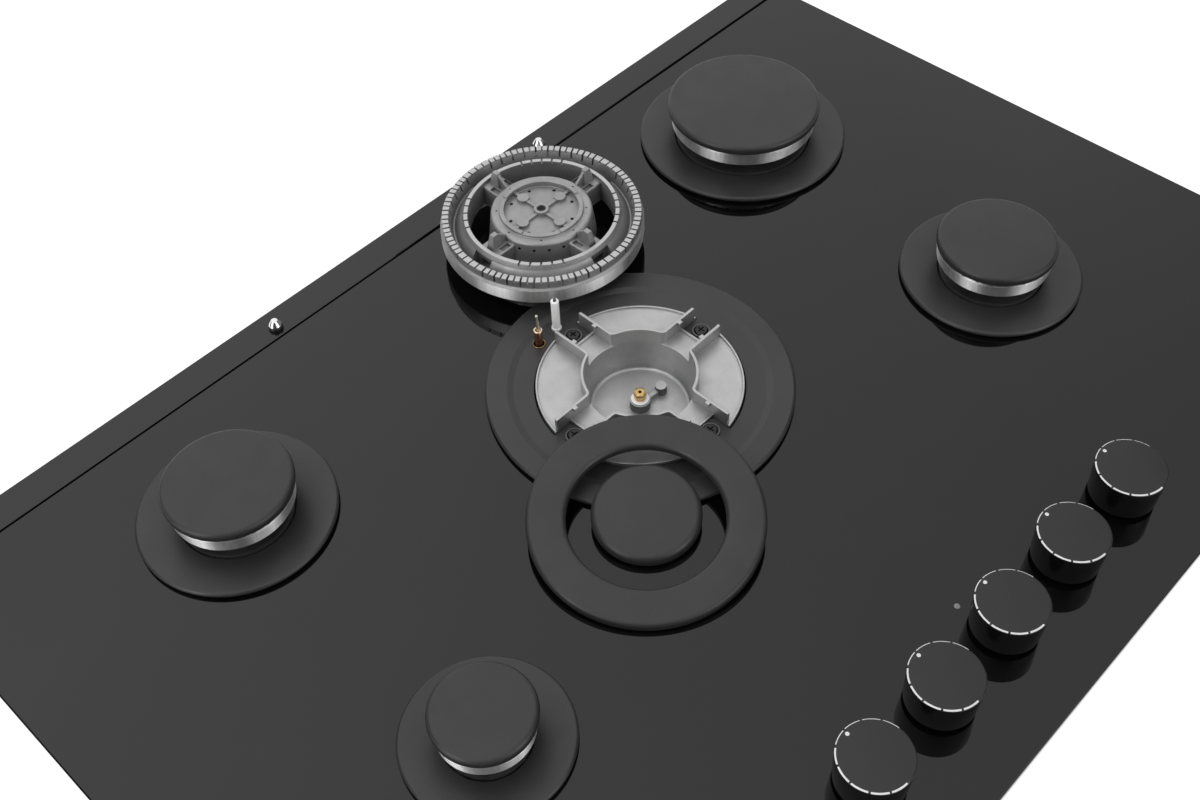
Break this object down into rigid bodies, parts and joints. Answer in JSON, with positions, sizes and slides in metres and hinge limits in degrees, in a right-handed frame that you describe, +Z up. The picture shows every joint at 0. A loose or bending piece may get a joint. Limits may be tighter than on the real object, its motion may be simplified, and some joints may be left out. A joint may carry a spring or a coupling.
{
  "type": "gas cooktop",
  "caption": "Black glass gas hob with round burners in wide enamelled dishes, front row of knobs, rear trim, and its centre burner taken apart: crown, ring cap and inner cap lifted off.",
  "frame": {"origin": "middle of the underside of the burner box, under the middle of the hob's outline", "axes": "+X to the right seen from the front, +Y to the back, +Z up"},
  "size_m": [0.762, 0.53, 0.0955],
  "materials": {
    "black_glass": "polished black tempered glass",
    "trim_black": "satin black enamelled steel",
    "box_steel": "galvanised sheet steel",
    "foam": "closed-cell black foam strip",
    "stud_chrome": "polished chrome",
    "washer_black": "satin black plastic",
    "dish_enamel": "matt charcoal enamel",
    "cap_enamel": "matt charcoal enamel on cast iron",
    "cup_cast": "die-cast aluminium, fine blasted",
    "crown_cast": "die-cast aluminium, band turned bright",
    "screw_black": "blackened steel",
    "screw_steel": "zinc-plated steel",
    "brass": "turned brass",
    "washer_white": "white fibre washer",
    "ceramic": "glazed white ceramic",
    "probe_steel": "drawn steel wire",
    "copper": "copper sheath with brass ring and pale needle",
    "rail_steel": "zinc-plated sheet steel",
    "valve_cast": "die-cast aluminium",
    "tube_aluminium": "drawn aluminium tube",
    "module_plastic": "moulded black plastic",
    "rubber_black": "moulded rubber",
    "knob_plastic": "black moulded plastic, dark grey top"
  },
  "bodies": {
    "root": {"glass_top": "black_glass", "rear_trim": "trim_black", "burner_box": "box_steel", "worktop_gasket": "foam", "trim_studs": "stud_chrome", "stud_washers": "washer_black", "dish_centre": "dish_enamel", "cup_centre": "cup_cast", "centre_cup_screws": "screw_black", "small_cup_screws": "screw_steel", "injectors": "brass", "injector_washers": "washer_white", "electrode_ceramics": "ceramic", "electrode_tips": "probe_steel", "thermocouples": "copper", "thermocouple_collars": "brass", "support_rails": "rail_steel", "valve_bodies": "valve_cast", "valve_covers": "rail_steel", "gas_rail": "rail_steel", "gas_tubes": "tube_aluminium", "gas_inlet": "brass", "ignition_module": "module_plastic", "knob_seals": "rubber_black", "cable_gland": "module_plastic", "dish_rear_left": "dish_enamel", "dish_rear_right": "dish_enamel", "dish_front_right": "dish_enamel", "dish_front_left": "dish_enamel", "cup_rear_left": "cup_cast", "cup_rear_right": "cup_cast", "cup_front_right": "cup_cast", "cup_front_left": "cup_cast"},
    "crown_centre": {"crown_centre": "crown_cast"},
    "ring_cap": {"ring_cap": "cap_enamel"},
    "inner_cap": {"inner_cap": "cap_enamel"},
    "crown_rear_left": {"crown_rear_left": "crown_cast"},
    "cap_rear_left": {"cap_rear_left": "cap_enamel"},
    "crown_rear_right": {"crown_rear_right": "crown_cast"},
    "cap_rear_right": {"cap_rear_right": "cap_enamel"},
    "crown_front_right": {"crown_front_right": "crown_cast"},
    "cap_front_right": {"cap_front_right": "cap_enamel"},
    "crown_front_left": {"crown_front_left": "crown_cast"},
    "cap_front_left": {"cap_front_left": "cap_enamel"},
    "valve_front_left": {"valve_plug_front_left": "brass"},
    "knob_front_left": {"knob_front_left": "knob_plastic", "stem_front_left": "rail_steel"},
    "valve_rear_left": {"valve_plug_rear_left": "brass"},
    "knob_rear_left": {"knob_rear_left": "knob_plastic", "stem_rear_left": "rail_steel"},
    "valve_centre": {"valve_plug_centre": "brass"},
    "knob_centre": {"knob_centre": "knob_plastic", "stem_centre": "rail_steel"},
    "valve_rear_right": {"valve_plug_rear_right": "brass"},
    "knob_rear_right": {"knob_rear_right": "knob_plastic", "stem_rear_right": "rail_steel"},
    "valve_front_right": {"valve_plug_front_right": "brass"},
    "knob_front_right": {"knob_front_right": "knob_plastic", "stem_front_right": "rail_steel"}
  },
  "joints": [
    {"name": "crown_centre_lift", "type": "slide", "parent": "root", "child": "crown_centre", "axis": [0, 0, 1], "range_m": [0, 0.04]},
    {"name": "ring_cap_lift", "type": "slide", "parent": "root", "child": "ring_cap", "axis": [0, 0, 1], "range_m": [0, 0.04]},
    {"name": "inner_cap_lift", "type": "slide", "parent": "root", "child": "inner_cap", "axis": [0, 0, 1], "range_m": [0, 0.04]},
    {"name": "crown_rear_left_lift", "type": "slide", "parent": "root", "child": "crown_rear_left", "axis": [0, 0, 1], "range_m": [0, 0.03]},
    {"name": "cap_rear_left_lift", "type": "slide", "parent": "crown_rear_left", "child": "cap_rear_left", "axis": [0, 0, 1], "range_m": [0, 0.03]},
    {"name": "crown_rear_right_lift", "type": "slide", "parent": "root", "child": "crown_rear_right", "axis": [0, 0, 1], "range_m": [0, 0.03]},
    {"name": "cap_rear_right_lift", "type": "slide", "parent": "crown_rear_right", "child": "cap_rear_right", "axis": [0, 0, 1], "range_m": [0, 0.03]},
    {"name": "crown_front_right_lift", "type": "slide", "parent": "root", "child": "crown_front_right", "axis": [0, 0, 1], "range_m": [0, 0.03]},
    {"name": "cap_front_right_lift", "type": "slide", "parent": "crown_front_right", "child": "cap_front_right", "axis": [0, 0, 1], "range_m": [0, 0.03]},
    {"name": "crown_front_left_lift", "type": "slide", "parent": "root", "child": "crown_front_left", "axis": [0, 0, 1], "range_m": [0, 0.03]},
    {"name": "cap_front_left_lift", "type": "slide", "parent": "crown_front_left", "child": "cap_front_left", "axis": [0, 0, 1], "range_m": [0, 0.03]},
    {"name": "tap_front_left_turn", "type": "hinge", "parent": "root", "child": "valve_front_left", "pos_m": [-0.11, -0.2122, 0.028], "axis": [0, 0, 1], "range_deg": [0, 210]},
    {"name": "knob_front_left_press", "type": "slide", "parent": "valve_front_left", "child": "knob_front_left", "axis": [0, 0, -1], "range_m": [0, 0.0025], "stiffness_N_per_m": 800, "springref_m": -0.004},
    {"name": "tap_rear_left_turn", "type": "hinge", "parent": "root", "child": "valve_rear_left", "pos_m": [-0.0513, -0.2122, 0.028], "axis": [0, 0, 1], "range_deg": [0, 210]},
    {"name": "knob_rear_left_press", "type": "slide", "parent": "valve_rear_left", "child": "knob_rear_left", "axis": [0, 0, -1], "range_m": [0, 0.0025], "stiffness_N_per_m": 800, "springref_m": -0.004},
    {"name": "tap_centre_turn", "type": "hinge", "parent": "root", "child": "valve_centre", "pos_m": [0.0074, -0.2122, 0.028], "axis": [0, 0, 1], "range_deg": [0, 210]},
    {"name": "knob_centre_press", "type": "slide", "parent": "valve_centre", "child": "knob_centre", "axis": [0, 0, -1], "range_m": [0, 0.0025], "stiffness_N_per_m": 800, "springref_m": -0.004},
    {"name": "tap_rear_right_turn", "type": "hinge", "parent": "root", "child": "valve_rear_right", "pos_m": [0.0661, -0.2122, 0.028], "axis": [0, 0, 1], "range_deg": [0, 210]},
    {"name": "knob_rear_right_press", "type": "slide", "parent": "valve_rear_right", "child": "knob_rear_right", "axis": [0, 0, -1], "range_m": [0, 0.0025], "stiffness_N_per_m": 800, "springref_m": -0.004},
    {"name": "tap_front_right_turn", "type": "hinge", "parent": "root", "child": "valve_front_right", "pos_m": [0.1248, -0.2122, 0.028], "axis": [0, 0, 1], "range_deg": [0, 210]},
    {"name": "knob_front_right_press", "type": "slide", "parent": "valve_front_right", "child": "knob_front_right", "axis": [0, 0, -1], "range_m": [0, 0.0025], "stiffness_N_per_m": 800, "springref_m": -0.004}
  ]
}
